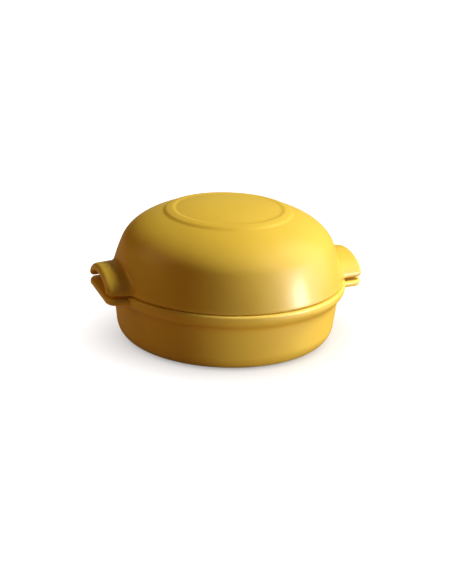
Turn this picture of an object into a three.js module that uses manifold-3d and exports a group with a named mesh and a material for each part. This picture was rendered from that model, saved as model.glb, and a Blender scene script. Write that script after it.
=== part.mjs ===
// A stoneware cheese baker: a round dish with two flat ears, and a domed lid with two vaulted handles.
// Millimetres, +Z up. The origin is on the table under the middle of the dish, and the handles lie along X.
import * as THREE from "three";
import { mergeVertices } from "three/addons/utils/BufferGeometryUtils.js";
import Module from "manifold-3d";

const degrees = (angle) => (angle * Math.PI) / 180;

// Dish
const RIM_RADIUS = 88.5; // widest radius of the rolled rim
const RIM_HEIGHT = 44.8; // flat top of the rim above the table
const RIM_EDGE = 1.8; // rounding of the rim's top edges
const RIM_FACE = 3.2; // how far below its top the rim is widest
const RIM_UNDERCUT = 2.8; // how far the rim has drawn in at the end of its swell
const RIM_DEPTH = 8.9; // from the rim's top to the end of its swell
const SWELL_ANGLE = degrees(38); // slope of the surface there
const WALL_SETBACK = 4.9; // from the rim's widest radius in to the wall under it
const WALL_START = 12.8; // from the rim's top down to where the wall begins
const WALL_DRAFT = degrees(7); // the wall leans out by this much
const DISH_WALL = 6.2; // thickness of the wall
const BASE_RADIUS = 69; // outer edge of the foot
const BASE_CORNER = 12; // height of the rounded corner between foot and wall
const FOOT_WIDTH = 6; // flat ring that stands on the table
const FOOT_RECESS = 1.2; // hollow under the dish, inside the foot
const FLOOR = 6.8; // thickness of the floor
const INNER_CORNER = 13; // rounding between floor and wall inside

// Lid
const SEAT_GAP = 0.3; // between the rim and the lid that rests on it
const LID_SETBACK = 1.8; // the lid's edge stands in from the rim's widest radius
const LID_EDGE = 1.4; // rounding of the lid's lower edge
const LID_WALL = 6; // thickness of the lid
const LID_RISE = 55.2; // from the lid's lower edge to its top
const RIM_LEAN = degrees(13); // lean of the lid's side at its lower edge
const SIDE_INSET = 7.9; // how far the side has come in where the shoulder begins
const SIDE_RISE = 26.5; // height of that place above the lid's lower edge
const SIDE_LEAN = degrees(21); // lean of the side there
const CROWN_INSET = 24.7; // how far the shoulder has come in where the crown begins
const CROWN_RISE = 43.7; // height of that place
const CROWN_LEAN = degrees(62); // lean of the surface there
const RING_OUTER = 47.1; // raised ring on the crown: radius halfway up its outer flank
const RING_INNER = 40.1; // the same for its inner flank
const RING_FLANK = 2.4; // width of each flank
const RING_LIFT = 0.9; // height of the ring
const SKIRT_CLEARANCE = 1.2; // between the dish's mouth and the skirt under the lid that keeps it in place
const SKIRT_DEPTH = 4.2; // how far the skirt drops below the lid's lower edge
const SKIRT_WIDTH = 4; // its thickness
const SKIRT_EDGE = 1; // rounding of its lower edges
const SKIRT_BLEND = 9; // height over which it runs out into the lid's side

// Ears of the dish
const EAR_REACH = 10; // from the rim's widest radius to the ear's outer edge
const EAR_WIDTH = 56.4; // along its outer edge
const EAR_THICKNESS = 4.7;
const EAR_DROP = 1.6; // the ear's top lies this far below the rim's top
const EAR_CORNER = 7.2; // rounding of its corners, seen from above
const EAR_EDGE = 1.9; // rounding along its edges
const EAR_FILLET = 2.5; // under the ear, where it meets the dish
const EAR_STEP = 0.6; // small fillet on top, where the rim steps up

// Handles of the lid
const HANDLE_WIDTH = 53; // over its two feet, at its outer end
const HANDLE_RISE = 14.2; // from the lid's lower edge to the top of the vault, at its outer end
const HANDLE_THICKNESS = 5.6;
const HANDLE_LEG = 1.2; // straight stretch at each foot
const HANDLE_CLEARANCE = 0.4; // from the lid's lower edge up to the feet, which so never carry the lid
const HANDLE_OUTER_EDGE = 3.2; // rounding of the vault's outer end, above
const HANDLE_INNER_EDGE = 1.8; // and inside the vault
const HANDLE_FOOT_EDGE = 1.1; // rounding along the feet
const HANDLE_FOOT_CORNER = 2.6; // rounding of their outer corners, seen from the side
const HANDLE_FILLET = 3.2; // where the flanks of the vault meet the lid
const HANDLE_TOP_FILLET = 1.8; // the same over the top
const HANDLE_INNER_FILLET = 2; // the same inside the vault

const SIDE_TAPER = Math.tan(degrees(9.5)); // ears and handles widen towards the body
const TOP_TAPER = Math.tan(degrees(4.5)); // the vault rises towards the body

// Facets
const TURN_STEPS = 64; // round the dish and the lid
const CURVE_STEPS = 4; // along each bend of an outline
const FILLET_STEPS = 3; // across each fillet or rounded edge of an ear or a handle
const VAULT_STEPS = 16; // along the vault
const CORNER_STEPS = 5; // round each corner of an ear
const SKIN_SAMPLES = 40; // along each bend where an outline is measured
const ROOT_DEPTH = 2.5; // how far the root of an ear or a handle runs into the body
const ROOT_SINK = 0.15; // how far a fillet's end lies under the body's surface
const LEAST_EDGE = 0.15; // an edge keeps this much rounding where its lip thins out

const GLAZE = new THREE.MeshStandardMaterial({ color: 0xdcae30, roughness: 0.35, metalness: 0 });

const wasm = await Module();
wasm.setup();

// Outlines in the plane of radius and height. Angles are measured from the outward direction.
const OUTWARD = 0;
const UP = Math.PI / 2;
const INWARD = Math.PI;

// Bends from the path's end to a point, leaving at one angle and arriving at another.
function bendTo(path, r, z, leave, arrive) {
  const start = path.currentPoint;
  const chord = Math.hypot(r - start.x, z - start.y);
  const pull = chord / (3 * Math.cos((arrive - leave) / 4) ** 2);
  const first = [start.x + pull * Math.cos(leave), start.y + pull * Math.sin(leave)];
  const second = [r - pull * Math.cos(arrive), z - pull * Math.sin(arrive)];
  path.bezierCurveTo(...first, ...second, r, z);
}

const wallTop = RIM_HEIGHT - WALL_START;
const wallAngle = UP - WALL_DRAFT;
const wallRadius = (z) => RIM_RADIUS - WALL_SETBACK + (z - wallTop) * Math.tan(WALL_DRAFT);
const innerRadius = (z) => wallRadius(z) - DISH_WALL / Math.cos(WALL_DRAFT);
const mouthRadius = innerRadius(RIM_HEIGHT);

// The dish's outside, from the foot's outer edge to the rim's top.
function dishOutside() {
  const path = new THREE.Path();
  path.moveTo(BASE_RADIUS, 0);
  bendTo(path, wallRadius(BASE_CORNER), BASE_CORNER, OUTWARD, wallAngle);
  path.lineTo(wallRadius(wallTop), wallTop);
  bendTo(path, RIM_RADIUS - RIM_UNDERCUT, RIM_HEIGHT - RIM_DEPTH, wallAngle, SWELL_ANGLE);
  bendTo(path, RIM_RADIUS, RIM_HEIGHT - RIM_FACE, SWELL_ANGLE, UP);
  path.lineTo(RIM_RADIUS, RIM_HEIGHT - RIM_EDGE);
  bendTo(path, RIM_RADIUS - RIM_EDGE, RIM_HEIGHT, UP, INWARD);
  return path;
}

// The dish's inside, from the rim's top to the axis.
function dishInside() {
  const floorTop = FOOT_RECESS + FLOOR;
  const cornerTop = floorTop + INNER_CORNER;
  const edgeBottom = RIM_HEIGHT - RIM_EDGE;
  const path = new THREE.Path();
  path.moveTo(mouthRadius + RIM_EDGE, RIM_HEIGHT);
  bendTo(path, innerRadius(edgeBottom), edgeBottom, INWARD, INWARD + wallAngle);
  path.lineTo(innerRadius(cornerTop), cornerTop);
  bendTo(path, innerRadius(floorTop) - INNER_CORNER, floorTop, INWARD + wallAngle, INWARD);
  path.lineTo(0, floorTop);
  return path;
}

// The hollow under the dish, from the axis to the foot.
function dishUnderside() {
  const footInner = BASE_RADIUS - FOOT_WIDTH;
  const path = new THREE.Path();
  path.moveTo(0, FOOT_RECESS);
  path.lineTo(footInner - FOOT_RECESS, FOOT_RECESS);
  path.lineTo(footInner, 0);
  return path;
}

const lidBottom = RIM_HEIGHT + SEAT_GAP;
const lidTop = lidBottom + LID_RISE;
const lidRadius = RIM_RADIUS - LID_SETBACK;
const crownStart = lidRadius - CROWN_INSET;

// The lid's outside, from its lower edge to its top, without the ring.
function lidOutside() {
  const path = new THREE.Path();
  path.moveTo(lidRadius - LID_EDGE, lidBottom);
  const edgeRadius = lidRadius - LID_EDGE * Math.tan(RIM_LEAN);
  bendTo(path, edgeRadius, lidBottom + LID_EDGE, OUTWARD, UP + RIM_LEAN);
  bendTo(path, lidRadius - SIDE_INSET, lidBottom + SIDE_RISE, UP + RIM_LEAN, UP + SIDE_LEAN);
  bendTo(path, crownStart, lidBottom + CROWN_RISE, UP + SIDE_LEAN, UP + CROWN_LEAN);
  bendTo(path, 0, lidTop, UP + CROWN_LEAN, INWARD);
  return path;
}

// Reads one coordinate of an outline off the other.
function reader(points, from, to) {
  const sorted = [...points].sort((a, b) => a[from] - b[from]);
  return (value) => {
    const i = sorted.findIndex((point) => point[from] >= value);
    if (i === -1) return sorted.at(-1)[to];
    if (i === 0) return sorted[0][to];
    const low = sorted[i - 1];
    const high = sorted[i];
    const share = (value - low[from]) / (high[from] - low[from]);
    return low[to] + share * (high[to] - low[to]);
  };
}

const lidSkin = lidOutside().getPoints(SKIN_SAMPLES);
const lidRadiusAt = reader(lidSkin, "y", "x");
const lidHeightAt = reader(lidSkin.slice(SKIN_SAMPLES), "x", "y");
const dishRadiusAt = reader(dishOutside().getPoints(SKIN_SAMPLES), "y", "x");

// Evenly spaced values between two ends, without the ends.
function between(start, end, steps) {
  return Array.from({ length: steps }, (_, i) => start + ((end - start) * (i + 1)) / (steps + 1));
}

// The lid's crown with its raised ring, from the shoulder to the axis.
function crownPoints() {
  const half = RING_FLANK / 2;
  const plain = (r) => new THREE.Vector2(r, lidHeightAt(r));
  const lifted = (r) => new THREE.Vector2(r, lidHeightAt(r) + RING_LIFT);
  return [
    ...between(crownStart, RING_OUTER + half, 1).map(plain),
    plain(RING_OUTER + half),
    lifted(RING_OUTER - half),
    lifted(RING_INNER + half),
    plain(RING_INNER - half),
    ...between(RING_INNER - half, 0, CURVE_STEPS - 1).map(plain),
    new THREE.Vector2(0, lidTop),
  ];
}

// Points moved off an outline to its left.
function offsetOutline(points, distance) {
  return points.map((point, i) => {
    const before = points[Math.max(i - 1, 0)];
    const after = points[Math.min(i + 1, points.length - 1)];
    const along = after.clone().sub(before).normalize();
    return new THREE.Vector2(point.x - along.y * distance, point.y + along.x * distance);
  });
}

// The lid's inside, from its top on the axis to the skirt's outer side.
function lidInside() {
  const skirtOuter = mouthRadius - SKIRT_CLEARANCE;
  const skirtInner = skirtOuter - SKIRT_WIDTH;
  const skirtBottom = lidBottom - SKIRT_DEPTH;
  const skin = lidOutside().getPoints(CURVE_STEPS).slice(CURVE_STEPS);
  const roof = offsetOutline(skin, LID_WALL).filter((point) => point.y > lidBottom + SKIRT_BLEND);
  roof.at(-1).x = 0;
  return [
    ...roof.reverse(),
    new THREE.Vector2(skirtInner, lidBottom),
    new THREE.Vector2(skirtInner, skirtBottom + SKIRT_EDGE),
    new THREE.Vector2(skirtInner + SKIRT_EDGE, skirtBottom),
    new THREE.Vector2(skirtOuter - SKIRT_EDGE, skirtBottom),
    new THREE.Vector2(skirtOuter, skirtBottom + SKIRT_EDGE),
    new THREE.Vector2(skirtOuter, lidBottom),
  ];
}

// Turns an outline that starts and ends on the axis about Z.
function revolve(points) {
  return new THREE.LatheGeometry(points, TURN_STEPS).rotateX(UP);
}

// Faces that close the end of a loft. The loop is flattened to a plane that shows its shape.
function capFaces(loop, flatten, alongLoop) {
  const outline = loop.map(flatten);
  const { area } = THREE.ShapeUtils;
  return THREE.ShapeUtils.triangulateShape(outline, []).map(([a, b, c]) => {
    const sameTurn = area([outline[a], outline[b], outline[c]]) * area(outline) > 0;
    return sameTurn === alongLoop ? [a, b, c] : [a, c, b];
  });
}

// Skins a row of closed loops that all have the same number of points, and closes both ends.
function loft(loops, flatten) {
  const count = loops[0].length;
  const lastStart = (loops.length - 1) * count;
  const at = (i, j) => i * count + (j % count);
  const faces = [];
  for (let i = 0; i + 1 < loops.length; i++) {
    for (let j = 0; j < count; j++) {
      faces.push([at(i, j), at(i, j + 1), at(i + 1, j)]);
      faces.push([at(i + 1, j), at(i, j + 1), at(i + 1, j + 1)]);
    }
  }
  faces.push(...capFaces(loops[0], flatten, false));
  const lastCap = capFaces(loops.at(-1), flatten, true);
  faces.push(...lastCap.map((face) => face.map((corner) => corner + lastStart)));
  return new THREE.BufferGeometry().setFromPoints(loops.flat()).setIndex(faces.flat());
}

// Shares of a quarter turn, from its start to its end.
const quarter = Array.from({ length: FILLET_STEPS + 1 }, (_, i) => ((i / FILLET_STEPS) * Math.PI) / 2);

// One closed loop of an ear or a handle: a lip with a fillet to the body on both sides and a rounded end.
// place(reach, offset) is a point at a distance from the Y-Z plane, offset from the lip's outer side.
function lipLoop({ place, bodyRadiusAt, reach, thickness, edges, fillets, inset }) {
  const outer = -inset;
  const inner = inset - thickness;
  const onBody = (clear, offset) => {
    let span = reach;
    for (let i = 0; i < 8; i++) {
      const point = place(span, offset);
      span = Math.sqrt((bodyRadiusAt(point.z) + clear) ** 2 - point.y ** 2);
    }
    return place(span, offset);
  };
  const fillet = (turn, size, side, sign) =>
    onBody(size * (1 - Math.cos(turn)) - ROOT_SINK, side + sign * size * (1 - Math.sin(turn)));
  const end = reach - inset;
  const outerRound = Math.max(edges.outer - inset, LEAST_EDGE);
  const innerRound = Math.max(edges.inner - inset, LEAST_EDGE);
  const outerEdge = (turn) =>
    place(end - outerRound * (1 - Math.sin(turn)), outer - outerRound * (1 - Math.cos(turn)));
  const innerEdge = (turn) =>
    place(end - innerRound * (1 - Math.cos(turn)), inner + innerRound * (1 - Math.sin(turn)));
  return [
    onBody(-ROOT_DEPTH, outer + fillets.outer),
    ...quarter.map((turn) => fillet(turn, fillets.outer, outer, 1)),
    ...quarter.map(outerEdge),
    ...quarter.map(innerEdge),
    ...[...quarter].reverse().map((turn) => fillet(turn, fillets.inner, inner, -1)),
    onBody(-ROOT_DEPTH, inner - fillets.inner),
  ];
}

const earEnd = RIM_RADIUS + EAR_REACH;

// One flat ear of the dish, on the +X side.
function earGeometry() {
  const top = RIM_HEIGHT - EAR_DROP;
  const halfWidth = EAR_WIDTH / 2;
  const corner = Array.from({ length: CORNER_STEPS + 1 }, (_, i) => ((i / CORNER_STEPS) * Math.PI) / 2);
  const stations = corner.map((turn) => ({
    side: halfWidth - EAR_CORNER * (1 - Math.sin(turn)),
    reach: earEnd - EAR_CORNER * (1 - Math.cos(turn)),
  }));
  const straight = between(-stations[0].side, stations[0].side, 3).map((side) => ({ side, reach: earEnd }));
  const mirrored = stations.map(({ side, reach }) => ({ side: -side, reach })).reverse();
  const loops = [...mirrored, ...straight, ...stations].map(({ side, reach }) => {
    const intoEdge = Math.max((Math.abs(side) - halfWidth + EAR_EDGE) / EAR_EDGE, 0);
    const inset = EAR_EDGE * (1 - Math.sqrt(Math.max(1 - intoEdge ** 2, 0)));
    const widen = (span) => 1 + ((earEnd - span) * SIDE_TAPER) / halfWidth;
    return lipLoop({
      place: (span, offset) => new THREE.Vector3(span, side * widen(span), top + offset),
      bodyRadiusAt: dishRadiusAt,
      reach: reach + inset,
      thickness: EAR_THICKNESS,
      edges: { outer: EAR_EDGE, inner: EAR_EDGE },
      fillets: { outer: EAR_STEP, inner: EAR_FILLET },
      inset,
    });
  });
  return loft(loops, (point) => new THREE.Vector2(point.x, point.z));
}

// One vaulted handle of the lid, on the +X side, from one foot over the top to the other.
function handleGeometry() {
  const reach = earEnd;
  const springing = lidBottom + HANDLE_CLEARANCE + HANDLE_LEG;
  const footTurns = quarter.map((turn) => ({
    drop: HANDLE_LEG - HANDLE_FOOT_EDGE * (1 - Math.sin(turn)),
    inset: HANDLE_FOOT_EDGE * (1 - Math.cos(turn)),
  }));
  const foot = (angle) => footTurns.map((step) => ({ angle, ...step }));
  const vault = between(Math.PI, 0, VAULT_STEPS - 1).map((angle) => ({ angle, drop: 0, inset: 0 }));
  const stations = [...foot(Math.PI).reverse(), ...vault, ...foot(0)];
  const endRise = lidBottom + HANDLE_RISE - springing;
  const loops = stations.map(({ angle, drop, inset }) => {
    const across = Math.cos(angle);
    const up = Math.sin(angle);
    const flank = across ** 2;
    const intoCorner = Math.max(HANDLE_FOOT_CORNER - HANDLE_LEG + drop - endRise * up, 0);
    const cornerCut = HANDLE_FOOT_CORNER - Math.sqrt(HANDLE_FOOT_CORNER ** 2 - intoCorner ** 2);
    const place = (span, offset) => {
      const halfWidth = HANDLE_WIDTH / 2 + (reach - span) * SIDE_TAPER + offset;
      const rise = endRise + (reach - span) * TOP_TAPER + offset;
      return new THREE.Vector3(span, halfWidth * across, springing - drop + rise * up);
    };
    return lipLoop({
      place,
      bodyRadiusAt: lidRadiusAt,
      reach: reach - cornerCut + inset,
      thickness: HANDLE_THICKNESS,
      edges: { outer: HANDLE_OUTER_EDGE, inner: HANDLE_INNER_EDGE },
      fillets: {
        outer: HANDLE_TOP_FILLET + flank * (HANDLE_FILLET - HANDLE_TOP_FILLET),
        inner: HANDLE_INNER_FILLET,
      },
      inset,
    });
  });
  return loft(loops, (point) => new THREE.Vector2(point.x, point.y));
}

// Closed solids, and the meshes made of them. Faces that shrink to a line on the axis are left out.
function solidOf(geometry) {
  const bare = geometry.clone().deleteAttribute("normal").deleteAttribute("uv");
  const merged = mergeVertices(bare, 1e-4);
  const corners = merged.index.array;
  const faces = [];
  for (let i = 0; i < corners.length; i += 3) {
    const face = corners.slice(i, i + 3);
    if (new Set(face).size === 3) faces.push(...face);
  }
  const mesh = new wasm.Mesh({
    numProp: 3,
    vertProperties: merged.attributes.position.array,
    triVerts: new Uint32Array(faces),
  });
  return new wasm.Manifold(mesh);
}

// Joins a pair of ears or handles to a body, one on each side.
function joinPair(body, geometry) {
  const opposite = geometry.clone().rotateZ(Math.PI);
  return solidOf(body).add(solidOf(geometry)).add(solidOf(opposite));
}

function namedMesh(name, solid) {
  const { vertProperties, triVerts } = solid.getMesh();
  const geometry = new THREE.BufferGeometry();
  geometry.setAttribute("position", new THREE.BufferAttribute(vertProperties, 3));
  geometry.setIndex(new THREE.BufferAttribute(triVerts, 1));
  geometry.computeVertexNormals();
  const mesh = new THREE.Mesh(geometry, GLAZE);
  mesh.name = name;
  return mesh;
}

const dishOutline = [
  ...dishUnderside().getPoints(CURVE_STEPS),
  ...dishOutside().getPoints(CURVE_STEPS),
  ...dishInside().getPoints(CURVE_STEPS),
];
const lidOutline = [
  ...lidInside(),
  ...lidOutside().getPoints(CURVE_STEPS).slice(0, 3 * CURVE_STEPS + 1),
  ...crownPoints(),
];

const baker = new THREE.Group();
baker.add(namedMesh("dish", joinPair(revolve(dishOutline), earGeometry())));
baker.add(namedMesh("lid", joinPair(revolve(lidOutline), handleGeometry())));
export default baker;
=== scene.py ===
# %% [markdown]
# # A cheese baker in glazed stoneware
#
# A small whole cheese is baked in this pot. It has two pieces of fired clay: a round dish with
# two flat ears, and a domed lid with two vaulted handles that stand over the ears. The CAD model
# has both pieces in plain facets. This script makes them again with a finer skin, glazes them and
# sets up a small studio. Lengths are written in millimetres, as on a drawing, and become metres
# when a mesh is made.

import math

import bmesh
import bpy
from mathutils import Matrix, Vector
from mathutils.geometry import interpolate_bezier


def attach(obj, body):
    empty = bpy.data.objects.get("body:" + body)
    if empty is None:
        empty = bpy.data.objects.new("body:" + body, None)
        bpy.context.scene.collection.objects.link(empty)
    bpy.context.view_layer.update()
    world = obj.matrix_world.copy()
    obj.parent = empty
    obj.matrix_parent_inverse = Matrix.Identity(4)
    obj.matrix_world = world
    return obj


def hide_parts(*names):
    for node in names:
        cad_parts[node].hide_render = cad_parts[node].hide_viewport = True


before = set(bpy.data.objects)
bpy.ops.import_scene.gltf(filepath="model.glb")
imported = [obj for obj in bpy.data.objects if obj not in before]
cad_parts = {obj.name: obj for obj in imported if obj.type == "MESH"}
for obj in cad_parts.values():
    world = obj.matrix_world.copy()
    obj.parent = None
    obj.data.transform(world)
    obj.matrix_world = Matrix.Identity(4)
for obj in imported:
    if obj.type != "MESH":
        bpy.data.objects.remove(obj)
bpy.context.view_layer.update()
print("CAD pieces:", sorted(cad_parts))

# %% [markdown]
# ## Outlines
#
# Both bodies are round, so each can be drawn as half a section and turned. The section could be
# drawn as a curve object by hand. Here it is a list of (radius, height) points, built from lines
# and bends, because then every rounding has a size that can be read and changed. A bend leaves
# its last point at one angle and reaches the next at another. Angles are measured from the
# outward direction. The two handles of the curve have the length that follows a circle.

# %% Lines and bends
UP = math.pi / 2
INWARD = math.pi
BEND_STEPS = 14
LINE_STEP = 3.0


def bend(outline, r, z, leave, arrive, steps=BEND_STEPS):
    start = Vector(outline[-1])
    end = Vector((r, z))
    pull = (end - start).length / (3 * math.cos((arrive - leave) / 4) ** 2)
    first = start + pull * Vector((math.cos(leave), math.sin(leave)))
    second = end - pull * Vector((math.cos(arrive), math.sin(arrive)))
    curve = interpolate_bezier(start, first, second, end, steps + 1)
    outline.extend((point.x, point.y) for point in curve[1:])


def line(outline, r, z, step=LINE_STEP):
    start = Vector(outline[-1])
    end = Vector((r, z))
    count = max(1, round((end - start).length / step))
    outline.extend(tuple(start.lerp(end, i / count)) for i in range(1, count + 1))


quarter_circle = [(1, 0)]
bend(quarter_circle, 0, 1, UP, INWARD)
stray = max(abs(Vector(point).length - 1) for point in quarter_circle)
print(f"a right-angled bend strays from a circle by {stray:.2%} of its radius")

# %% [markdown]
# ## The dish
#
# The dish is a bowl whose wall leans out by a few degrees, so that it comes out of its mould.
# Near the top the wall swells into a rolled rim, and the rim's flat top carries the lid. The
# section could be drawn in one go. Here it has three parts, because the ears later follow the
# outside alone. All sizes are those of the CAD model.

# %% Outside of the dish
RIM_RADIUS = 88.5
RIM_HEIGHT = 44.8
RIM_EDGE = 1.8
RIM_FACE = 3.2
RIM_UNDERCUT = 2.8
RIM_DEPTH = 8.9
SWELL_ANGLE = math.radians(38)
WALL_SETBACK = 4.9
WALL_START = 12.8
WALL_DRAFT = math.radians(7)
BASE_RADIUS = 69
BASE_CORNER = 12
EDGE_STEPS = 8

wall_top = RIM_HEIGHT - WALL_START
wall_angle = UP - WALL_DRAFT
swell_radius = RIM_RADIUS - RIM_UNDERCUT


def wall_radius(z):
    return RIM_RADIUS - WALL_SETBACK + (z - wall_top) * math.tan(WALL_DRAFT)


dish_skin = [(BASE_RADIUS, 0)]
bend(dish_skin, wall_radius(BASE_CORNER), BASE_CORNER, 0, wall_angle)
line(dish_skin, wall_radius(wall_top), wall_top)
bend(dish_skin, swell_radius, RIM_HEIGHT - RIM_DEPTH, wall_angle, SWELL_ANGLE)
bend(dish_skin, RIM_RADIUS, RIM_HEIGHT - RIM_FACE, SWELL_ANGLE, UP)
line(dish_skin, RIM_RADIUS, RIM_HEIGHT - RIM_EDGE)
bend(dish_skin, RIM_RADIUS - RIM_EDGE, RIM_HEIGHT, UP, INWARD, steps=EDGE_STEPS)
print("points on the outside of the dish:", len(dish_skin))

# %% [markdown]
# The inside runs from the rim down the wall, round a wide corner that a spoon can follow, and
# over the floor to the axis. A Solidify modifier could give the wall its thickness, but the
# inside has roundings of its own, so it is drawn.

# %% Inside of the dish
DISH_WALL = 6.2
FLOOR = 6.8
INNER_CORNER = 13
FOOT_RECESS = 1.2
FLAT_STEP = 5


def inner_radius(z):
    return wall_radius(z) - DISH_WALL / math.cos(WALL_DRAFT)


mouth_radius = inner_radius(RIM_HEIGHT)
floor_top = FOOT_RECESS + FLOOR
corner_top = floor_top + INNER_CORNER
edge_bottom = RIM_HEIGHT - RIM_EDGE
down_wall = INWARD + wall_angle
dish_inside = [dish_skin[-1]]
line(dish_inside, mouth_radius + RIM_EDGE, RIM_HEIGHT)
bend(dish_inside, inner_radius(edge_bottom), edge_bottom, INWARD, down_wall, steps=EDGE_STEPS)
line(dish_inside, inner_radius(corner_top), corner_top)
bend(dish_inside, inner_radius(floor_top) - INNER_CORNER, floor_top, down_wall, INWARD)
line(dish_inside, 0, floor_top, step=FLAT_STEP)
print(f"mouth of the dish: {2 * mouth_radius:.1f} mm wide")

# %% [markdown]
# Under the dish is a shallow hollow, so that only a narrow ring touches the table and the dish
# can't rock. It could be cut away with a Boolean, but as part of the outline it takes only a few
# points: a flat, then two small bends, one down and one out to the ring.

# %% Underside of the dish
FOOT_WIDTH = 6
FOOT_STEPS = 4
DOWN_SLOPE = -math.pi / 4

foot_inner = BASE_RADIUS - FOOT_WIDTH
half_depth = FOOT_RECESS / 2
dish_underside = [(0, FOOT_RECESS)]
line(dish_underside, foot_inner - 2 * FOOT_RECESS, FOOT_RECESS, step=FLAT_STEP)
bend(dish_underside, foot_inner - FOOT_RECESS, half_depth, 0, DOWN_SLOPE, steps=FOOT_STEPS)
bend(dish_underside, foot_inner, 0, DOWN_SLOPE, 0, steps=FOOT_STEPS)
line(dish_underside, BASE_RADIUS, 0)
dish_outline = dish_underside + dish_skin[1:] + dish_inside[1:]
print("points in the dish's outline:", len(dish_outline))

# %% [markdown]
# ## The lid
#
# The lid is a dome with a steep side, a round shoulder and a crown that is almost flat. Its lower
# edge lies a little inside the dish's rim. It could be part of a squashed sphere, but no sphere
# has both that side and that crown. So each stretch is one long bend between two leans, and
# because the leans agree where stretches meet, no crease shows. A lean is measured from upright.

# %% Outside of the lid
SEAT_GAP = 0.3
LID_SETBACK = 1.8
LID_EDGE = 1.4
LID_RISE = 55.2
SIDE_INSET = 7.9
SIDE_RISE = 26.5
CROWN_INSET = 24.7
CROWN_RISE = 43.7
EDGE_LEAN = math.radians(13)
SIDE_LEAN = math.radians(21)
CROWN_LEAN = math.radians(62)
SHOULDER_STEPS = 18
CROWN_STEPS = 60

edge_angle = UP + EDGE_LEAN
side_angle = UP + SIDE_LEAN
crown_angle = UP + CROWN_LEAN
lid_bottom = RIM_HEIGHT + SEAT_GAP
lid_radius = RIM_RADIUS - LID_SETBACK
edge_radius = lid_radius - LID_EDGE * math.tan(EDGE_LEAN)
crown_radius = lid_radius - CROWN_INSET
crown_height = lid_bottom + CROWN_RISE
lid_skin = [(lid_radius - LID_EDGE, lid_bottom)]
bend(lid_skin, edge_radius, lid_bottom + LID_EDGE, 0, edge_angle, steps=EDGE_STEPS)
bend(lid_skin, lid_radius - SIDE_INSET, lid_bottom + SIDE_RISE, edge_angle, side_angle)
bend(lid_skin, crown_radius, crown_height, side_angle, crown_angle, steps=SHOULDER_STEPS)
bend(lid_skin, 0, lid_bottom + LID_RISE, crown_angle, INWARD, steps=CROWN_STEPS)
print("points on the outside of the lid:", len(lid_skin))

# %% [markdown]
# A low raised ring lies on the crown. It could be a ring of its own, joined by a union, but a
# moulded ring has soft flanks. So the points of the outline between two radii are lifted, and
# each flank eases in and out.

# %% Ring on the crown
RING_OUTER = 47.1
RING_INNER = 40.1
RING_FLANK = 2.4
RING_LIFT = 0.9


def ease(share):
    share = min(max(share, 0), 1)
    return share * share * (3 - 2 * share)


def ring_lift(r):
    outer = ease((RING_OUTER - r) / RING_FLANK + 0.5)
    inner = ease((r - RING_INNER) / RING_FLANK + 0.5)
    return RING_LIFT * outer * inner


ringed_skin = [(r, z + ring_lift(r)) for r, z in lid_skin]
print("points lifted by the ring:", sum(ring_lift(r) > 0 for r, z in lid_skin))

# %% [markdown]
# The lid's inside follows its outside at the thickness of the wall. Drawn with bends of its own,
# the wall would come out uneven. So each point of the outside is stepped inwards at a right angle
# to the skin, and the points that would fall into the skirt are left out.

# %% Inside of the lid
LID_WALL = 6
SKIRT_BLEND = 9

lid_inside = []
for before, after in zip(lid_skin[EDGE_STEPS:], lid_skin[EDGE_STEPS + 2 :]):
    along = (Vector(after) - Vector(before)).normalized()
    middle = (Vector(before) + Vector(after)) / 2
    r = middle.x - along.y * LID_WALL
    z = middle.y + along.x * LID_WALL
    if z > lid_bottom + SKIRT_BLEND and r > 0:
        lid_inside.append((r, z))
lid_inside.append((0, lid_bottom + LID_RISE - LID_WALL))
lid_inside.reverse()
print("points on the inside of the dome:", len(lid_inside))

# %% [markdown]
# Low down the inside runs into a skirt that drops into the dish's mouth and keeps the lid from
# sliding off. The skirt stays clear of the mouth, because fired clay is never quite round. It
# could be a ring joined on, but it is the same clay as the dome, so it is more of the same
# outline.

# %% Skirt of the lid
SKIRT_CLEARANCE = 1.2
SKIRT_DEPTH = 4.2
SKIRT_WIDTH = 4
SKIRT_EDGE = 1
SKIRT_STEPS = 6
BLEND_LEAN = math.radians(14)

skirt_outer = mouth_radius - SKIRT_CLEARANCE
skirt_inner = skirt_outer - SKIRT_WIDTH
skirt_bottom = lid_bottom - SKIRT_DEPTH
bend(lid_inside, skirt_inner, lid_bottom, -UP - BLEND_LEAN, -UP)
line(lid_inside, skirt_inner, skirt_bottom + SKIRT_EDGE)
bend(lid_inside, skirt_inner + SKIRT_EDGE, skirt_bottom, -UP, 0, steps=SKIRT_STEPS)
line(lid_inside, skirt_outer - SKIRT_EDGE, skirt_bottom)
bend(lid_inside, skirt_outer, skirt_bottom + SKIRT_EDGE, 0, UP, steps=SKIRT_STEPS)
line(lid_inside, skirt_outer, lid_bottom - SKIRT_EDGE)
bend(lid_inside, skirt_outer + SKIRT_EDGE, lid_bottom, UP, 0, steps=SKIRT_STEPS)
lid_outline = lid_inside + ringed_skin
print("points in the lid's outline:", len(lid_outline))

# %% [markdown]
# ## Turning an outline
#
# Spinning an outline about Z is what a potter's wheel does. A Screw modifier does it too. The spin
# operator was chosen because it leaves a plain mesh at once, whose points can be merged right
# after. Each outline starts and ends on the axis, so the merge there closes the skin.

# %% Spin
MM = 0.001
TURN_STEPS = 240
MERGE_DISTANCE = 1e-6


def new_object(name, bm):
    bmesh.ops.recalc_face_normals(bm, faces=bm.faces)
    mesh = bpy.data.meshes.new(name)
    bm.to_mesh(mesh)
    bm.free()
    obj = bpy.data.objects.new(name, mesh)
    bpy.context.scene.collection.objects.link(obj)
    return obj


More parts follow.
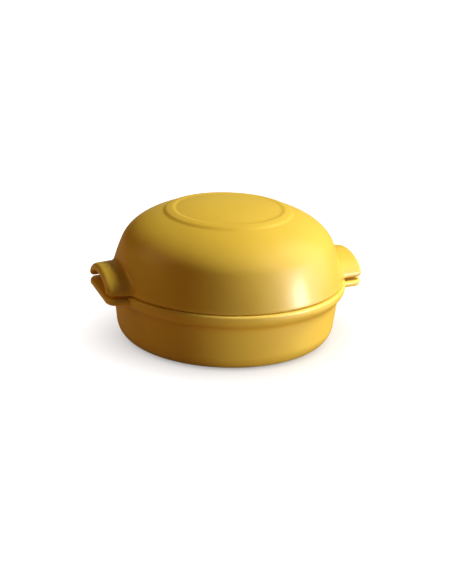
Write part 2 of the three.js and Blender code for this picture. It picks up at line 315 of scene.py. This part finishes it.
def turned(name, outline):
    bm = bmesh.new()
    verts = [bm.verts.new((r * MM, 0, z * MM)) for r, z in outline]
    edges = [bm.edges.new(pair) for pair in zip(verts, verts[1:])]
    bmesh.ops.spin(
        bm,
        geom=verts + edges,
        cent=(0, 0, 0),
        axis=(0, 0, 1),
        angle=2 * math.pi,
        steps=TURN_STEPS,
        use_merge=True,
    )
    bmesh.ops.remove_doubles(bm, verts=bm.verts, dist=MERGE_DISTANCE)
    return new_object(name, bm)


dish = turned("dish_skin", dish_outline)
lid = turned("lid_skin", lid_outline)
print("faces turned:", len(dish.data.polygons), len(lid.data.polygons))

# %% [markdown]
# ## Ears and handles
#
# An ear and a handle are both lips that grow out of a turned body. They could be cut from blocks
# and bevelled, but a bevel across the seam with a round body is hard to keep even. So a lip is a
# row of closed loops that start and end on the body. First a helper reads the body's radius at
# any height from the points of its outside.

# %% Radius of a body
def radius_reader(skin):
    def read(z):
        for (r0, z0), (r1, z1) in zip(skin, skin[1:]):
            if z0 <= z <= z1:
                return r0 + (z - z0) / ((z1 - z0) or 1) * (r1 - r0)
        return skin[0][0] if z < skin[0][1] else skin[-1][0]

    return read


dish_radius = radius_reader(dish_skin)
lid_radius_at = radius_reader(lid_skin)
print(f"radius of the dish at half height: {dish_radius(RIM_HEIGHT / 2):.1f} mm")

# %% [markdown]
# One loop leaves the body in a fillet, runs out, turns round the lip's rounded end and comes back
# to the body on the other side. A fillet could be a bevel after the union, but it would pinch
# where the lip runs out. Here it is part of the loop, and finds the body by stepping in to the
# radius at its height, a few times over. The loop's root lies inside the clay, so that the union
# is clean.

# %% One loop of a lip
LIP_STEPS = 8
SEEK_ROUNDS = 8
ROOT_DEPTH = 2.5
ROOT_SINK = 0.06
LEAST_EDGE = 0.15

quarter = [i / LIP_STEPS * UP for i in range(LIP_STEPS + 1)]


def lip_loop(place, body_radius, reach, thickness, edges, fillets, inset):
    outer = -inset
    inner = inset - thickness
    end = reach - inset
    outer_round, inner_round = (max(edge - inset, LEAST_EDGE) for edge in edges)

    def on_body(clear, offset):
        span = reach
        for _ in range(SEEK_ROUNDS):
            point = place(span, offset)
            span = math.sqrt((body_radius(point.z) + clear) ** 2 - point.y**2)
        return place(span, offset)

    def fillet(turn, size, side, sign):
        clear = size * (1 - math.cos(turn)) - ROOT_SINK
        return on_body(clear, side + sign * size * (1 - math.sin(turn)))

    loop = [on_body(-ROOT_DEPTH, outer + fillets[0])]
    loop += [fillet(turn, fillets[0], outer, 1) for turn in quarter]
    for turn in quarter:
        span = end - outer_round * (1 - math.sin(turn))
        loop.append(place(span, outer - outer_round * (1 - math.cos(turn))))
    for turn in quarter:
        span = end - inner_round * (1 - math.cos(turn))
        loop.append(place(span, inner + inner_round * (1 - math.sin(turn))))
    loop += [fillet(turn, fillets[1], inner, -1) for turn in reversed(quarter)]
    loop.append(on_body(-ROOT_DEPTH, inner - fillets[1]))
    return loop


print("points in one loop:", 4 * len(quarter) + 2)

# %% [markdown]
# Bridging each loop to the next skins the lip, and filling the first and last loops closes it.
# The faces could be listed one by one, but the bridge operator does that without a slip. The
# opposite lip is the same one turned half round, because the baker looks the same from both ends.

# %% Skin a row of loops
LIP_SIDES = (("right", False), ("left", True))


def lip_object(name, loops, half_turn):
    bm = bmesh.new()
    rings = []
    for loop in loops:
        verts = [bm.verts.new(point * MM) for point in loop]
        rings.append([bm.edges.new(pair) for pair in zip(verts, verts[1:] + verts[:1])])
    for one, other in zip(rings, rings[1:]):
        bmesh.ops.bridge_loops(bm, edges=one + other)
    for ring in (rings[0], rings[-1]):
        bmesh.ops.contextual_create(bm, geom=ring)
    if half_turn:
        turn = Matrix.Rotation(math.pi, 3, "Z")
        bmesh.ops.rotate(bm, verts=bm.verts, cent=(0, 0, 0), matrix=turn)
    return new_object(name, bm)


print("a lip on each side:", [side for side, _ in LIP_SIDES])

# %% [markdown]
# An ear is a flat tongue with rounded corners, a little lower than the rim, to lift the dish by.
# Seen from above, its end is a straight line between two corners. A plate with bevelled corners
# would do, but loops that crowd together in the corners, where the outline turns, keep them
# smooth.

# %% Outline of an ear
EAR_REACH = 10
EAR_WIDTH = 56.4
EAR_CORNER = 7.2
CORNER_STEPS = 16
STRAIGHT_STEPS = 12

ear_end = RIM_RADIUS + EAR_REACH
half_ear = EAR_WIDTH / 2


def ear_stations():
    rounded = []
    for i in range(CORNER_STEPS + 1):
        turn = i / CORNER_STEPS * UP
        side = half_ear - EAR_CORNER * (1 - math.sin(turn))
        rounded.append((side, ear_end - EAR_CORNER * (1 - math.cos(turn))))
    last = rounded[0][0]
    steps = range(1, 2 * STRAIGHT_STEPS)
    straight = [(last * (i / STRAIGHT_STEPS - 1), ear_end) for i in steps]
    return [(-side, reach) for side, reach in reversed(rounded)] + straight + rounded


print("loops across an ear:", len(ear_stations()))

# %% [markdown]
# The loops stand side by side across the ear. Where its side edge rounds off they shrink by an
# inset, which rounds that edge as a bevel would, and keeps the number of points in every loop the
# same, so that they can be bridged. Towards the dish the ear widens a little.

# %% Ears
EAR_THICKNESS = 4.7
EAR_DROP = 1.6
EAR_EDGE = 1.9
EAR_FILLET = 2.5
EAR_STEP = 0.6
SIDE_TAPER = math.tan(math.radians(9.5))


def ear_loops():
    top = RIM_HEIGHT - EAR_DROP
    edges = (EAR_EDGE, EAR_EDGE)
    fillets = (EAR_STEP, EAR_FILLET)
    loops = []
    for side, reach in ear_stations():
        into_edge = max((abs(side) - half_ear + EAR_EDGE) / EAR_EDGE, 0)
        inset = EAR_EDGE * (1 - math.sqrt(max(1 - into_edge**2, 0)))

        def place(span, offset):
            widen = 1 + (ear_end - span) * SIDE_TAPER / half_ear
            return Vector((span, side * widen, top + offset))

        end = reach + inset
        loops.append(lip_loop(place, dish_radius, end, EAR_THICKNESS, edges, fillets, inset))
    return loops


ears = [lip_object(f"ear_{side}", ear_loops(), half_turn) for side, half_turn in LIP_SIDES]
print("faces of an ear:", len(ears[0].data.polygons))

# %% [markdown]
# A handle is a vault: a thick arch that widens and rises towards the dome, so that fingertips
# find room under it. A curve with a bevel could sweep such an arch, but its section couldn't
# follow the dome. So loops fan out over the arch, and a few more on each side run down the leg to
# a rounded foot. The foot stays clear of the ear, so the lid rests on its round edge alone.

# %% Arch of a handle
HANDLE_RISE = 14.2
HANDLE_LEG = 1.2
HANDLE_CLEARANCE = 0.4
HANDLE_FOOT_EDGE = 1.1
HANDLE_FOOT_CORNER = 2.6
ARCH_STEPS = 56

springing = lid_bottom + HANDLE_CLEARANCE + HANDLE_LEG
end_rise = lid_bottom + HANDLE_RISE - springing


def handle_stations():
    foot = []
    for turn in quarter:
        drop = HANDLE_LEG - HANDLE_FOOT_EDGE * (1 - math.sin(turn))
        foot.append((drop, HANDLE_FOOT_EDGE * (1 - math.cos(turn))))
    stations = [(math.pi, drop, inset) for drop, inset in reversed(foot)]
    stations += [(math.pi * (1 - i / ARCH_STEPS), 0, 0) for i in range(ARCH_STEPS + 1)]
    stations += [(0, drop, inset) for drop, inset in foot]
    return stations


def corner_cut(angle, drop):
    into_corner = max(HANDLE_FOOT_CORNER - HANDLE_LEG + drop - end_rise * math.sin(angle), 0)
    return HANDLE_FOOT_CORNER - math.sqrt(HANDLE_FOOT_CORNER**2 - into_corner**2)


print("loops over a handle:", len(handle_stations()))

# %% [markdown]
# Each loop of a handle lies in a plane of its own, from the dome out to the handle's mouth. The
# fillet where it leaves the dome is smaller on top than at the sides. It could be the same all
# round, but then the top of the arch would melt into the dome and lose its clear line.

# %% Handles
HANDLE_WIDTH = 53
HANDLE_THICKNESS = 5.6
HANDLE_OUTER_EDGE = 3.2
HANDLE_INNER_EDGE = 1.8
HANDLE_FILLET = 3.2
HANDLE_TOP_FILLET = 1.8
HANDLE_INNER_FILLET = 2
TOP_TAPER = math.tan(math.radians(4.5))

handle_end = ear_end


def handle_loops():
    edges = (HANDLE_OUTER_EDGE, HANDLE_INNER_EDGE)
    loops = []
    for angle, drop, inset in handle_stations():

        def place(span, offset):
            half = HANDLE_WIDTH / 2 + (handle_end - span) * SIDE_TAPER + offset
            rise = end_rise + (handle_end - span) * TOP_TAPER + offset
            height = springing - drop + rise * math.sin(angle)
            return Vector((span, half * math.cos(angle), height))

        sideways = math.cos(angle) ** 2
        top_fillet = HANDLE_TOP_FILLET + sideways * (HANDLE_FILLET - HANDLE_TOP_FILLET)
        fillets = (top_fillet, HANDLE_INNER_FILLET)
        reach = handle_end - corner_cut(angle, drop) + inset
        loop = lip_loop(place, lid_radius_at, reach, HANDLE_THICKNESS, edges, fillets, inset)
        loops.append(loop)
    return loops


handles = [lip_object(f"handle_{side}", handle_loops(), turn) for side, turn in LIP_SIDES]
print("faces of a handle:", len(handles[0].data.polygons))

# %% [markdown]
# ## Joining clay to clay
#
# The real dish and its ears are one piece of clay, and so are the lid and its handles. A union
# makes one skin of a body and its two lips, with no walls left inside. The manifold solver asks
# for closed pieces, which these are; the exact solver lost the dome when it was tried here.

# %% Union
WELD_DISTANCE = 2e-6


def unite(body, lips):
    for lip in lips:
        union = body.modifiers.new(lip.name, "BOOLEAN")
        union.operation = "UNION"
        union.solver = "MANIFOLD"
        union.object = lip
    joined = body.evaluated_get(bpy.context.evaluated_depsgraph_get())
    mesh = bpy.data.meshes.new_from_object(joined)
    body.modifiers.clear()
    body.data = mesh
    for lip in lips:
        bpy.data.objects.remove(lip)
    bm = bmesh.new()
    bm.from_mesh(mesh)
    bmesh.ops.remove_doubles(bm, verts=bm.verts, dist=WELD_DISTANCE)
    bmesh.ops.dissolve_degenerate(bm, edges=bm.edges, dist=MERGE_DISTANCE)
    bmesh.ops.recalc_face_normals(bm, faces=bm.faces)
    loose = sum(not edge.is_manifold for edge in bm.edges)
    for face in bm.faces:
        face.smooth = True
    bm.to_mesh(mesh)
    bm.free()
    print(body.name, "faces:", len(mesh.polygons), "open edges:", loose)


unite(dish, ears)
unite(lid, handles)

# %% [markdown]
# ## Marks on the clay
#
# Liquid glaze creeps away from sharp edges and gathers in hollows. A material could read how the
# skin bends from Pointiness, but that works in Cycles alone and has no size. So the bend at each
# vertex is worked out and kept as an attribute: above 0 on edges, below 0 in hollows. A second
# attribute marks what is wiped bare before firing, so that it doesn't stick: the foot ring and the
# lower edge of the skirt.

# %% Attributes
FULL_BEND = 320
EVEN_ROUNDS = 4
LEAST_SQUARE = 1e-9
FOOT_WIPED = 0.5
SKIRT_WIPED = 0.7


def bend_of(vert):
    total = 0
    for edge in vert.link_edges:
        other = edge.other_vert(vert)
        step = other.co - vert.co
        turned_by = (other.normal - vert.normal).dot(step)
        total += turned_by / max(step.length_squared, LEAST_SQUARE)
    return min(max(total / len(vert.link_edges) / FULL_BEND, -1), 1)


def evened(bm, values):
    result = []
    for vert in bm.verts:
        near = [values[edge.other_vert(vert).index] for edge in vert.link_edges]
        result.append((values[vert.index] + sum(near)) / (1 + len(near)))
    return result


def mark(obj, wiped_below):
    bm = bmesh.new()
    bm.from_mesh(obj.data)
    bm.normal_update()
    bends = [bend_of(vert) for vert in bm.verts]
    for _ in range(EVEN_ROUNDS):
        bends = evened(bm, bends)
    wiped = [float(vert.co.z < wiped_below * MM) for vert in bm.verts]
    bm.free()
    for name, values in (("bend", bends), ("wiped", wiped)):
        obj.data.attributes.new(name, "FLOAT", "POINT").data.foreach_set("value", values)
    print(obj.name, "bends from", round(min(bends), 2), "to", round(max(bends), 2))
    print(obj.name, "points wiped:", int(sum(wiped)))


mark(dish, FOOT_WIPED)
mark(lid, skirt_bottom + SKIRT_WIPED)

# %% [markdown]
# ## Glaze
#
# The glaze is a coloured glass over the clay, never quite even. An image could carry its drift,
# but a pattern in nodes has no seams and follows any change of shape. Small node groups each make
# one effect. The first is patches: a slow noise becomes a value that drifts between two limits,
# which serves the colour, the gloss and the clay.

# %% Patches
PATCH_DETAIL = 3
PATCH_FROM = 0.3
PATCH_TO = 0.7


def new_group(name, inputs, outputs):
    group = bpy.data.node_groups.new(name, "ShaderNodeTree")
    for direction, sockets in (("INPUT", inputs), ("OUTPUT", outputs)):
        for label, kind in sockets.items():
            group.interface.new_socket(label, in_out=direction, socket_type="NodeSocket" + kind)
    given = group.nodes.new("NodeGroupInput").outputs
    made = group.nodes.new("NodeGroupOutput").inputs
    return group, given, made


def add(tree, kind, values=None, **settings):
    node = tree.nodes.new(kind)
    for name, value in settings.items():
        setattr(node, name, value)
    for socket, value in (values or {}).items():
        if isinstance(value, bpy.types.NodeSocket):
            tree.links.new(value, node.inputs[socket])
        else:
            node.inputs[socket].default_value = value
    return node


def noise(tree, scale, detail):
    place = add(tree, "ShaderNodeTexCoord").outputs["Object"]
    values = {"Vector": place, "Scale": scale, "Detail": detail}
    return add(tree, "ShaderNodeTexNoise", values).outputs["Fac"]


def remap(tree, value, start, end, low=0, high=1):
    span = {"From Min": start, "From Max": end, "To Min": low, "To Max": high}
    return add(tree, "ShaderNodeMapRange", {"Value": value, **span}).outputs["Result"]


limits = {"Scale": "Float", "Low": "Float", "High": "Float"}
patches, given, made = new_group("patches", limits, {"Value": "Float"})
slow = noise(patches, given["Scale"], PATCH_DETAIL)
drift = remap(patches, slow, PATCH_FROM, PATCH_TO, given["Low"], given["High"])
patches.links.new(drift, made["Value"])
print("nodes in the patches group:", len(patches.nodes))

# %% [markdown]
# The colour starts from two close yellows in broad patches. In hollows the glaze is thick and
# deeper, and along edges it is thin and paler, unevenly so. Last come fine specks, such as iron
# in the clay leaves. One flat yellow would be simpler, but it would look like plastic.

# %% Colour of the glaze
BODY = (0.81, 0.555, 0.06, 1)
DEEP = (0.79, 0.52, 0.048, 1)
THIN = (0.86, 0.61, 0.11, 1)
POOLED = (0.74, 0.42, 0.024, 1)
BODY_SCALE = 22
HOLLOW_FULL = -0.35
HOLLOW_SHARE = 0.8
EDGE_SCALE = 160
EDGE_FROM = 0.12
EDGE_FULL = 0.8
EDGE_SHARE = 0.75
LEAST_THIN = 0.5
SPECK_SCALE = 900
SPECK_FROM = 0.7
SPECK_FULL = 0.78
SPECK_SHARE = 0.35


def mixed(tree, share, one, other):
    values = {"Factor": share, "A": one, "B": other}
    return add(tree, "ShaderNodeMix", values, data_type="RGBA").outputs["Result"]


def computed(tree, operation, one, other):
    return add(tree, "ShaderNodeMath", {0: one, 1: other}, operation=operation).outputs[0]


def patchy(tree, scale, low, high):
    values = {"Scale": scale, "Low": low, "High": high}
    return add(tree, "ShaderNodeGroup", values, node_tree=patches).outputs["Value"]


colours, given, made = new_group("glaze colour", {"Bend": "Float"}, {"Color": "Color"})
even = mixed(colours, patchy(colours, BODY_SCALE, 0, 1), BODY, DEEP)
in_hollow = remap(colours, given["Bend"], 0, HOLLOW_FULL, high=HOLLOW_SHARE)
on_edge = remap(colours, given["Bend"], EDGE_FROM, EDGE_FULL, high=EDGE_SHARE)
uneven = computed(colours, "MULTIPLY", on_edge, patchy(colours, EDGE_SCALE, LEAST_THIN, 1))
pooled = mixed(colours, in_hollow, even, POOLED)
thinned = mixed(colours, uneven, pooled, THIN)
fine = noise(colours, SPECK_SCALE, detail=2)
speck = remap(colours, fine, SPECK_FROM, SPECK_FULL, high=SPECK_SHARE)
colours.links.new(mixed(colours, speck, thinned, POOLED), made["Color"])
print("nodes in the colour group:", len(colours.nodes))

# %% [markdown]
# The surface has a faint orange peel over long, low waves that were left in the clay. Both are
# far too small to model, so they are two bumps, one on top of the other.

# %% Surface of the glaze
WAVE_SCALE = 45
WAVE_HEIGHT = 0.0006
PEEL_SCALE = 420
PEEL_HEIGHT = 0.00004

surface, given, made = new_group("glaze surface", {"Strength": "Float"}, {"Normal": "Vector"})
waves = add(
    surface,
    "ShaderNodeBump",
    {
        "Strength": given["Strength"],
        "Distance": WAVE_HEIGHT,
        "Height": noise(surface, WAVE_SCALE, detail=1),
    },
)
peel = add(
    surface,
    "ShaderNodeBump",
    {
        "Strength": given["Strength"],
        "Distance": PEEL_HEIGHT,
        "Height": noise(surface, PEEL_SCALE, detail=2),
        "Normal": waves.outputs["Normal"],
    },
)
surface.links.new(peel.outputs["Normal"], made["Normal"])
print("nodes in the surface group:", len(surface.nodes))

# %% [markdown]
# Bare clay shows where the glaze was wiped off. A second material on those faces could show it,
# but would end in a straight edge, and a sponge leaves a ragged one. So a fine noise is added to
# the wiped mark before it is cut to a mask. The clay itself is dull and grainy.

# %% Bare clay
CLAY = (0.52, 0.37, 0.24, 1)
CLAY_GRAIN = (0.36, 0.24, 0.15, 1)
RAG_SCALE = 300
RAG = 0.2
MASK_FROM = 0.45
MASK_FULL = 0.6
GRAIN_SCALE = 1500

bare, given, made = new_group("bare clay", {"Wiped": "Float"}, {"Mask": "Float", "Color": "Color"})
ragged = computed(bare, "ADD", given["Wiped"], patchy(bare, RAG_SCALE, -RAG, RAG))
bare.links.new(remap(bare, ragged, MASK_FROM, MASK_FULL), made["Mask"])
bare.links.new(mixed(bare, patchy(bare, GRAIN_SCALE, 0, 1), CLAY, CLAY_GRAIN), made["Color"])
print("nodes in the clay group:", len(bare.nodes))

# %% [markdown]
# The shader has two layers: a satin body, and a thin clear coat that gives the soft glint. Where
# the clay is bare the coat goes and the body turns rough. Two shaders could be mixed for this,
# but one shader keeps each value in one place. One material serves both pieces, as one glaze
# does.

# %% Material
GLOSS_SCALE = 60
SATIN_LOW = 0.46
SATIN_HIGH = 0.54
CLAY_ROUGHNESS = 0.9
SPECULAR = 0.8
COAT = 0.45
COAT_IOR = 1.4
COAT_ROUGHNESS = 0.225
BUMP = 0.35


def attribute(tree, name):
    return add(tree, "ShaderNodeAttribute", attribute_name=name).outputs["Fac"]


def placed(tree, group, values):
    return add(tree, "ShaderNodeGroup", values, node_tree=group).outputs


glaze = bpy.data.materials.new("yellow_glaze")
glaze.use_nodes = True
tree = glaze.node_tree
colour = placed(tree, colours, {"Bend": attribute(tree, "bend")})["Color"]
clay = placed(tree, bare, {"Wiped": attribute(tree, "wiped")})
normal = placed(tree, surface, {"Strength": BUMP})["Normal"]
glazed = computed(tree, "SUBTRACT", 1.0, clay["Mask"])
satin = patchy(tree, GLOSS_SCALE, SATIN_LOW, SATIN_HIGH)
layers = {"Factor": glazed, "A": CLAY_ROUGHNESS, "B": satin}
roughness = add(tree, "ShaderNodeMix", layers).outputs["Result"]
shader = tree.nodes["Principled BSDF"]
tree.links.new(mixed(tree, clay["Mask"], colour, clay["Color"]), shader.inputs["Base Color"])
tree.links.new(roughness, shader.inputs["Roughness"])
tree.links.new(computed(tree, "MULTIPLY", glazed, COAT), shader.inputs["Coat Weight"])
tree.links.new(normal, shader.inputs["Normal"])
shader.inputs["Specular IOR Level"].default_value = SPECULAR
shader.inputs["Coat IOR"].default_value = COAT_IOR
shader.inputs["Coat Roughness"].default_value = COAT_ROUGHNESS
print("nodes in the glaze:", len(tree.nodes))

# %% [markdown]
# Both pieces are dipped in the same glaze. Each could have a copy of the material, but one that is
# shared is changed in one place. Each finished piece then takes the place of its CAD node and
# rides on the same body, so the lid's skin lifts with the lid.

# %% Glaze the pieces
for obj, node in ((dish, "dish"), (lid, "lid")):
    obj.data.materials.clear()
    obj.data.materials.append(glaze)
    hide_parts(node)
    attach(obj, node)
print("glazed:", dish.name, lid.name)

# %% [markdown]
# ## Studio
#
# The baker stands on white paper. Stronger lamps could make it white. Here it gives off part of its
# white by itself where the camera sees it, so it needs no more light, and the rest of it still
# takes the shadow. To the light that bounces off it the paper is a dim brown, and reflections show
# only a trace of its white. Otherwise it would light the shaded side and put pale rims on the
# glaze. It lies a hair under the foot, so that the two never share a plane.

# %% Floor
FLOOR_SIZE = 20
FLOOR_DROP = 0.0002
PAPER_GLOW = 0.36
PAPER_MIRRORED = 0.02
PAPER_WHITE = (0.86, 0.86, 0.86, 1)
PAPER_BOUNCE = (0.19, 0.102, 0.03, 1)

bm = bmesh.new()
bmesh.ops.create_grid(bm, x_segments=1, y_segments=1, size=FLOOR_SIZE)
bmesh.ops.translate(bm, verts=bm.verts, vec=(0, 0, -FLOOR_DROP))
floor = new_object("floor", bm)
paper = bpy.data.materials.new("paper")
paper.use_nodes = True
tree = paper.node_tree
rays = add(tree, "ShaderNodeLightPath").outputs
mirrored = computed(tree, "MULTIPLY", rays["Is Glossy Ray"], PAPER_MIRRORED)
seen = computed(tree, "MAXIMUM", rays["Is Camera Ray"], mirrored)
shown = computed(tree, "MAXIMUM", seen, rays["Is Transmission Ray"])
sheet = tree.nodes["Principled BSDF"]
sheet.inputs["Roughness"].default_value = 1
sheet.inputs["Specular IOR Level"].default_value = 0
tree.links.new(mixed(tree, shown, PAPER_BOUNCE, PAPER_WHITE), sheet.inputs["Base Color"])
white = add(tree, "ShaderNodeEmission", {"Color": (1, 1, 1, 1)})
glow = computed(tree, "MULTIPLY", shown, PAPER_GLOW)
both = {"Fac": glow, 1: sheet.outputs[0], 2: white.outputs[0]}
blend = add(tree, "ShaderNodeMixShader", both)
tree.links.new(blend.outputs[0], tree.nodes["Material Output"].inputs["Surface"])
floor.data.materials.append(paper)
print("floor:", [round(side, 1) for side in floor.dimensions])

# %% [markdown]
# The camera was fitted to the photograph: a short telephoto lens from about a metre away, looking
# down by about 20 degrees, with a slight roll. It could be placed by a position and a Track To
# constraint. Here turning, tilting, moving back and rolling are separate matrices, so each can be
# changed alone.

# %% Camera
CAMERA_TURN = math.radians(-19.3)
CAMERA_HEIGHT = math.radians(19.68)
CAMERA_ROLL = math.radians(2.0)
CAMERA_DISTANCE = 1.1358
CAMERA_LENS = 93.58
CAMERA_SIGHT = 60
LOOK_AT = (0.0001, 0, 0.0317)

camera = bpy.data.objects.new("camera", bpy.data.cameras.new("camera"))
bpy.context.scene.collection.objects.link(camera)
camera.data.lens = CAMERA_LENS
camera.data.clip_end = CAMERA_SIGHT
studio_turn = Matrix.Rotation(CAMERA_TURN, 4, "Z")
aim = studio_turn @ Matrix.Translation(LOOK_AT)
tilt = Matrix.Rotation(UP - CAMERA_HEIGHT, 4, "X")
away = Matrix.Translation((0, 0, CAMERA_DISTANCE))
roll = Matrix.Rotation(CAMERA_ROLL, 4, "Z")
camera.matrix_world = aim @ tilt @ away @ roll
bpy.context.scene.camera = camera
print("camera at", [round(side, 3) for side in camera.matrix_world.translation])

# %% [markdown]
# Each lamp is placed by a direction from the baker: right, away from the camera and up. It lights
# only the pieces in its collection, so the shadow on the paper can be softer than the shade on
# the baker. A lamp can also leave out its matt light or its reflection. One lamp could do both,
# but then the highlight couldn't be placed without moving the shade.

# %% Helpers for lamps
LAMP_AIM = Vector((0, 0, 0.05))


def group_of(name, objects):
    group = bpy.data.collections.new(name)
    for obj in objects:
        group.objects.link(obj)
    return group


def lamp_towards(name, kind, direction, distance, power, tint, lights):
    lamp = bpy.data.lights.new(name, kind)
    lamp.energy = power
    lamp.color = tint
    obj = bpy.data.objects.new(name, lamp)
    bpy.context.scene.collection.objects.link(obj)
    out = Vector(direction).normalized()
    place = Matrix.Translation(LAMP_AIM + out * distance)
    obj.matrix_world = studio_turn @ place @ out.to_track_quat("Z", "Y").to_matrix().to_4x4()
    obj.light_linking.receiver_collection = lights
    return obj


def softbox(name, direction, distance, size, power, tint, lights, matt=True, gloss=True):
    obj = lamp_towards(name, "AREA", direction, distance, power, tint, lights)
    obj.data.shape = "RECTANGLE"
    obj.data.size, obj.data.size_y = size
    obj.visible_diffuse = matt
    obj.visible_glossy = gloss
    return obj


baker = group_of("baker", (dish, lid))
dish_only = group_of("dish only", (dish,))
ground = group_of("ground", (floor,))

# %% [markdown]
# A low key lamp on the right lights the baker from the side, helped on the dish by a second one.
# A top lamp high on the right lights the crown, and a weak warm fill on the left keeps the shade
# brown. Three panels are there only for what the glaze mirrors: a glint near the key, a wide one
# on the right and a cream one behind. The paper has a broad sky of its own, so its shadow is soft
# and hugs the foot.

# %% Lamps
WHITE = (1, 1, 1)
CREAM = (1, 0.88, 0.4)
WARM = (1, 0.58, 0.18)
SKY_WIDTH = math.radians(150)

softbox("key", (0.92, -0.38, 0.05), 1.1, (0.3, 0.24), 5.6, WHITE, baker, gloss=False)
softbox("glint", (0.95, -0.27, 0.06), 1.1, (0.3, 0.24), 7, WHITE, baker, matt=False)
softbox("low", (0.94, -0.35, 0.02), 1.1, (0.4, 0.4), 5.8, WHITE, dish_only)
softbox("side", (0.85, 0, 0.45), 1.2, (1.6, 1.6), 13, WHITE, baker, matt=False)
softbox("top", (0.62, 0.14, 0.73), 1.1, (0.3, 0.3), 15.5, WHITE, baker, gloss=False)
softbox("back", (0.15, 0.93, 0.33), 1.2, (1.2, 1.0), 0.8, CREAM, baker, matt=False)
softbox("fill", (-0.85, 0, 0.5), 1.2, (0.8, 0.8), 2.3, WARM, baker)
sky = lamp_towards("sky", "SUN", (0.24, 0.08, 0.97), 2, 5.4, WHITE, ground)
sky.data.angle = SKY_WIDTH
print("lamps:", len(bpy.data.lights))

# %% [markdown]
# The world adds a trace of warm light from all round, so that no hollow is black. A sky image could
# do this, but one tint is enough for so little light. The Standard view transform was chosen
# because it shows a colour about as it is written.

# %% World
WORLD_STRENGTH = 0.03

world = bpy.data.worlds.new("studio")
bpy.context.scene.world = world
world.use_nodes = True
background = world.node_tree.nodes["Background"]
background.inputs["Color"].default_value = (*WARM, 1)
background.inputs["Strength"].default_value = WORLD_STRENGTH
bpy.context.scene.view_settings.view_transform = "Standard"
print("world strength:", WORLD_STRENGTH)
